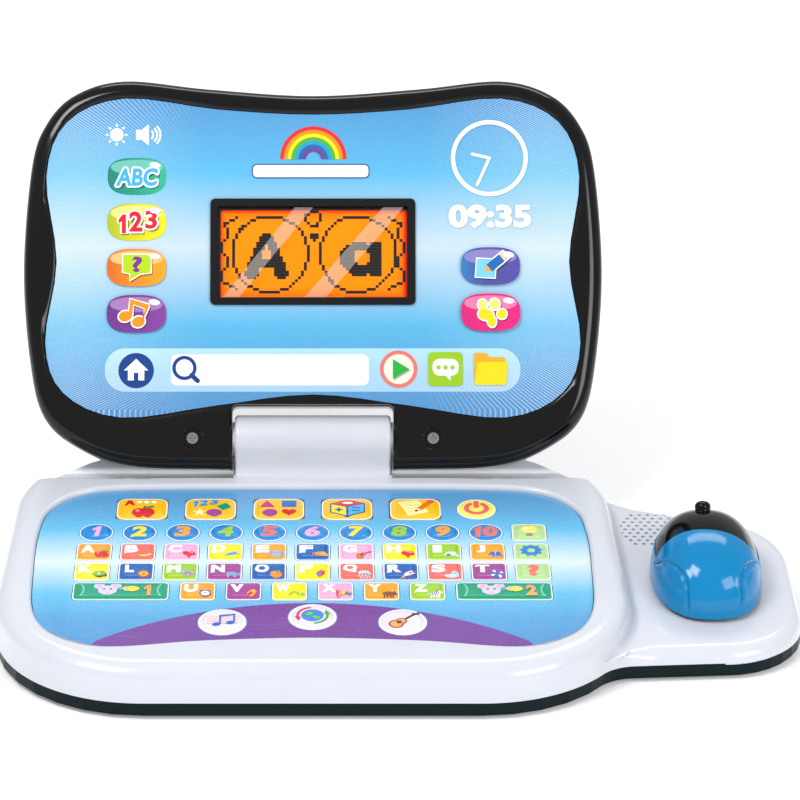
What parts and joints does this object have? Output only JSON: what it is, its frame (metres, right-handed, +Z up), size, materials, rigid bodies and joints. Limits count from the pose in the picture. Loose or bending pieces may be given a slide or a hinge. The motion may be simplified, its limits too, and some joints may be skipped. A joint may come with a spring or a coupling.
{
  "type": "toy laptop computer",
  "caption": "Toy laptop for young children with a hinged bone-shaped lid, a small amber screen, a flat coloured keyboard and a captive sliding mouse on a side wing.",
  "frame": {"origin": "centre of the footprint with the lid open, on the surface that the rubber feet stand on", "axes": "+X to the right of the user, along the keyboard; +Y away from the user; +Z up"},
  "size_m": [0.3175, 0.2429, 0.1776],
  "materials": {
    "white_gloss": "glossy white moulded casing",
    "dark_case": "satin green-black casing",
    "black_gloss": "high gloss black",
    "film_blue": "printed film, blue shading to white",
    "panel_blue": "printed plate, blue shading to white",
    "guide_grey": "natural plastic",
    "membrane": "printed sheet",
    "board_green": "solder mask",
    "screw_steel": "zinc plated",
    "contact_steel": "nickel plated",
    "battery_wrap": "printed wrap",
    "speaker_black": "paper cone and steel basket",
    "foot_rubber": "matt",
    "nylon": "natural nylon",
    "cable_black": "flexible lead",
    "clear_window": "clear",
    "lcd_orange": "lit amber display",
    "diffuser": "milky",
    "slide_grey": "slippery plastic",
    "underplate_black": "satin",
    "switch_black": "satin",
    "mouse_blue": "glossy blue",
    "mouse_black": "glossy black",
    "key_yellow": "printed, embossed film",
    "key_blue": "printed, embossed film",
    "key_green": "printed, embossed film",
    "key_orange": "printed, embossed film",
    "key_teal": "printed, embossed film",
    "key_lilac": "printed, embossed film",
    "print_white": "printed ink",
    "print_dark": "printed ink",
    "print_purple": "printed ink",
    "print_colour": "printed ink in many colours"
  },
  "bodies": {
    "base": {"base_top": "white_gloss", "base_bottom": "dark_case", "battery_door": "dark_case", "battery_door_screw": "screw_steel", "batteries": "battery_wrap", "battery_contacts": "contact_steel", "keyboard_overlay": "film_blue", "key_guide": "guide_grey", "switch_membrane": "membrane", "main_board": "board_green", "speaker": "speaker_black", "base_screws": "screw_steel", "rubber_feet": "foot_rubber", "hinge_rings": "nylon", "base_cable": "cable_black"},
    "lid": {"lid_front": "black_gloss", "lid_back": "black_gloss", "faceplate": "panel_blue", "lcd_frame": "black_gloss", "lcd_window": "clear_window", "lcd_panel": "lcd_orange", "lcd_backlight": "diffuser", "lcd_board": "board_green", "lid_screws": "screw_steel", "hinge_pins": "screw_steel", "lid_cable": "cable_black"},
    "mouse_carriage": {"cross_slide": "slide_grey"},
    "mouse_base": {"mouse_underplate": "underplate_black", "mouse_retainer": "screw_steel", "mouse_click_switch": "switch_black"},
    "mouse_top": {"mouse_shell": "mouse_blue", "mouse_head": "mouse_black"},
    "key_first_words": {"key_first_words": "key_yellow"},
    "key_counting": {"key_counting": "key_yellow"},
    "key_shapes": {"key_shapes": "key_yellow"},
    "key_music_blocks": {"key_music_blocks": "key_yellow"},
    "key_writing": {"key_writing": "key_yellow"},
    "key_power": {"key_power": "key_yellow"},
    "key_1": {"key_1": "key_blue"},
    "key_2": {"key_2": "key_blue"},
    "key_3": {"key_3": "key_blue"},
    "key_4": {"key_4": "key_blue"},
    "key_5": {"key_5": "key_blue"},
    "key_6": {"key_6": "key_blue"},
    "key_7": {"key_7": "key_blue"},
    "key_8": {"key_8": "key_blue"},
    "key_9": {"key_9": "key_blue"},
    "key_10": {"key_10": "key_blue"},
    "key_hint": {"key_hint": "key_green"},
    "key_settings": {"key_settings": "key_green"},
    "key_help": {"key_help": "key_green"},
    "keys_a_to_j": {"keys_a_to_j": "key_orange"},
    "keys_k_to_t": {"keys_k_to_t": "key_orange"},
    "keys_u_to_z": {"keys_u_to_z": "key_orange"},
    "key_player_1": {"key_player_1": "key_teal"},
    "key_player_2": {"key_player_2": "key_teal"},
    "key_melody": {"key_melody": "key_lilac"},
    "key_language": {"key_language": "key_lilac"},
    "key_guitar": {"key_guitar": "key_lilac"}
  },
  "joints": [
    {"name": "lid_hinge", "type": "hinge", "parent": "base", "child": "lid", "pos_m": [-0.0355, 0.04, 0.043], "axis": [1, 0, 0], "range_deg": [0, 123]},
    {"name": "mouse_slide_x", "type": "slide", "parent": "base", "child": "mouse_carriage", "axis": [1, 0, 0], "range_m": [-0.004, 0.004], "stiffness_N_per_m": 100},
    {"name": "mouse_slide_y", "type": "slide", "parent": "mouse_carriage", "child": "mouse_base", "axis": [0, 0.9976, 0.0698], "range_m": [-0.004, 0.004], "stiffness_N_per_m": 100},
    {"name": "mouse_click", "type": "hinge", "parent": "mouse_base", "child": "mouse_top", "pos_m": [0.1215, -0.01434, 0.0218], "axis": [1, 0, 0], "range_deg": [0, 1], "stiffness_Nm_per_rad": 2, "springref_deg": -0.57},
    {"name": "press_key_first_words", "type": "slide", "parent": "base", "child": "key_first_words", "axis": [0, 0.0698, -0.9976], "range_m": [0, 0.0008], "stiffness_N_per_m": 800, "springref_m": -0.0004},
    {"name": "press_key_counting", "type": "slide", "parent": "base", "child": "key_counting", "axis": [0, 0.0698, -0.9976], "range_m": [0, 0.0008], "stiffness_N_per_m": 800, "springref_m": -0.0004},
    {"name": "press_key_shapes", "type": "slide", "parent": "base", "child": "key_shapes", "axis": [0, 0.0698, -0.9976], "range_m": [0, 0.0008], "stiffness_N_per_m": 800, "springref_m": -0.0004},
    {"name": "press_key_music_blocks", "type": "slide", "parent": "base", "child": "key_music_blocks", "axis": [0, 0.0698, -0.9976], "range_m": [0, 0.0008], "stiffness_N_per_m": 800, "springref_m": -0.0004},
    {"name": "press_key_writing", "type": "slide", "parent": "base", "child": "key_writing", "axis": [0, 0.0698, -0.9976], "range_m": [0, 0.0008], "stiffness_N_per_m": 800, "springref_m": -0.0004},
    {"name": "press_key_power", "type": "slide", "parent": "base", "child": "key_power", "axis": [0, 0.0698, -0.9976], "range_m": [0, 0.0008], "stiffness_N_per_m": 800, "springref_m": -0.0004},
    {"name": "press_key_1", "type": "slide", "parent": "base", "child": "key_1", "axis": [0, 0.0698, -0.9976], "range_m": [0, 0.0008], "stiffness_N_per_m": 800, "springref_m": -0.0004},
    {"name": "press_key_2", "type": "slide", "parent": "base", "child": "key_2", "axis": [0, 0.0698, -0.9976], "range_m": [0, 0.0008], "stiffness_N_per_m": 800, "springref_m": -0.0004},
    {"name": "press_key_3", "type": "slide", "parent": "base", "child": "key_3", "axis": [0, 0.0698, -0.9976], "range_m": [0, 0.0008], "stiffness_N_per_m": 800, "springref_m": -0.0004},
    {"name": "press_key_4", "type": "slide", "parent": "base", "child": "key_4", "axis": [0, 0.0698, -0.9976], "range_m": [0, 0.0008], "stiffness_N_per_m": 800, "springref_m": -0.0004},
    {"name": "press_key_5", "type": "slide", "parent": "base", "child": "key_5", "axis": [0, 0.0698, -0.9976], "range_m": [0, 0.0008], "stiffness_N_per_m": 800, "springref_m": -0.0004},
    {"name": "press_key_6", "type": "slide", "parent": "base", "child": "key_6", "axis": [0, 0.0698, -0.9976], "range_m": [0, 0.0008], "stiffness_N_per_m": 800, "springref_m": -0.0004},
    {"name": "press_key_7", "type": "slide", "parent": "base", "child": "key_7", "axis": [0, 0.0698, -0.9976], "range_m": [0, 0.0008], "stiffness_N_per_m": 800, "springref_m": -0.0004},
    {"name": "press_key_8", "type": "slide", "parent": "base", "child": "key_8", "axis": [0, 0.0698, -0.9976], "range_m": [0, 0.0008], "stiffness_N_per_m": 800, "springref_m": -0.0004},
    {"name": "press_key_9", "type": "slide", "parent": "base", "child": "key_9", "axis": [0, 0.0698, -0.9976], "range_m": [0, 0.0008], "stiffness_N_per_m": 800, "springref_m": -0.0004},
    {"name": "press_key_10", "type": "slide", "parent": "base", "child": "key_10", "axis": [0, 0.0698, -0.9976], "range_m": [0, 0.0008], "stiffness_N_per_m": 800, "springref_m": -0.0004},
    {"name": "press_key_hint", "type": "slide", "parent": "base", "child": "key_hint", "axis": [0, 0.0698, -0.9976], "range_m": [0, 0.0008], "stiffness_N_per_m": 800, "springref_m": -0.0004},
    {"name": "press_key_settings", "type": "slide", "parent": "base", "child": "key_settings", "axis": [0, 0.0698, -0.9976], "range_m": [0, 0.0008], "stiffness_N_per_m": 800, "springref_m": -0.0004},
    {"name": "press_key_help", "type": "slide", "parent": "base", "child": "key_help", "axis": [0, 0.0698, -0.9976], "range_m": [0, 0.0008], "stiffness_N_per_m": 800, "springref_m": -0.0004},
    {"name": "press_keys_a_to_j", "type": "slide", "parent": "base", "child": "keys_a_to_j", "axis": [0, 0.0698, -0.9976], "range_m": [0, 0.0008], "stiffness_N_per_m": 2000, "springref_m": -0.0004},
    {"name": "press_keys_k_to_t", "type": "slide", "parent": "base", "child": "keys_k_to_t", "axis": [0, 0.0698, -0.9976], "range_m": [0, 0.0008], "stiffness_N_per_m": 2000, "springref_m": -0.0004},
    {"name": "press_keys_u_to_z", "type": "slide", "parent": "base", "child": "keys_u_to_z", "axis": [0, 0.0698, -0.9976], "range_m": [0, 0.0008], "stiffness_N_per_m": 2000, "springref_m": -0.0004},
    {"name": "press_key_player_1", "type": "slide", "parent": "base", "child": "key_player_1", "axis": [0, 0.0698, -0.9976], "range_m": [0, 0.0008], "stiffness_N_per_m": 800, "springref_m": -0.0004},
    {"name": "press_key_player_2", "type": "slide", "parent": "base", "child": "key_player_2", "axis": [0, 0.0698, -0.9976], "range_m": [0, 0.0008], "stiffness_N_per_m": 800, "springref_m": -0.0004},
    {"name": "press_key_melody", "type": "slide", "parent": "base", "child": "key_melody", "axis": [0, 0.0698, -0.9976], "range_m": [0, 0.0008], "stiffness_N_per_m": 800, "springref_m": -0.0004},
    {"name": "press_key_language", "type": "slide", "parent": "base", "child": "key_language", "axis": [0, 0.0698, -0.9976], "range_m": [0, 0.0008], "stiffness_N_per_m": 800, "springref_m": -0.0004},
    {"name": "press_key_guitar", "type": "slide", "parent": "base", "child": "key_guitar", "axis": [0, 0.0698, -0.9976], "range_m": [0, 0.0008], "stiffness_N_per_m": 800, "springref_m": -0.0004}
  ]
}
